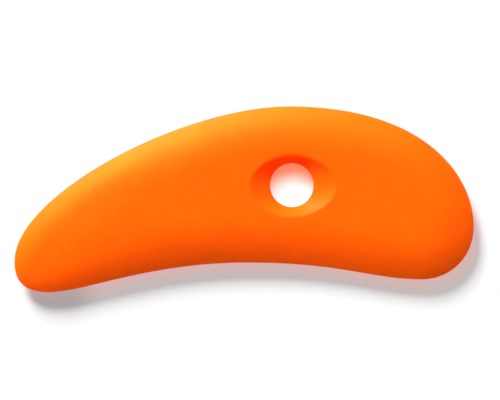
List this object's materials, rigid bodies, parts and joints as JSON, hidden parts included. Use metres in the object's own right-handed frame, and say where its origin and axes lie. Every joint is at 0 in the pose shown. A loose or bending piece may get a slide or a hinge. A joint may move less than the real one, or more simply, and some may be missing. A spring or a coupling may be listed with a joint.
{
  "type": "pottery rib",
  "caption": "Soft moulded pottery rib with a convex back, a hollow belly, crowned faces, a rounded edge all round and a dished finger hole.",
  "frame": {"origin": "centre of the finger hole, at half the thickness", "axes": "+X along the blade to the broad heel, +Y to the convex back, +Z along the finger hole, square to the flat faces"},
  "size_m": [0.178, 0.072, 0.01],
  "materials": {
    "silicone": "satin translucent silicone, orange right through"
  },
  "bodies": {
    "root": {"rib": "silicone"}
  },
  "joints": []
}
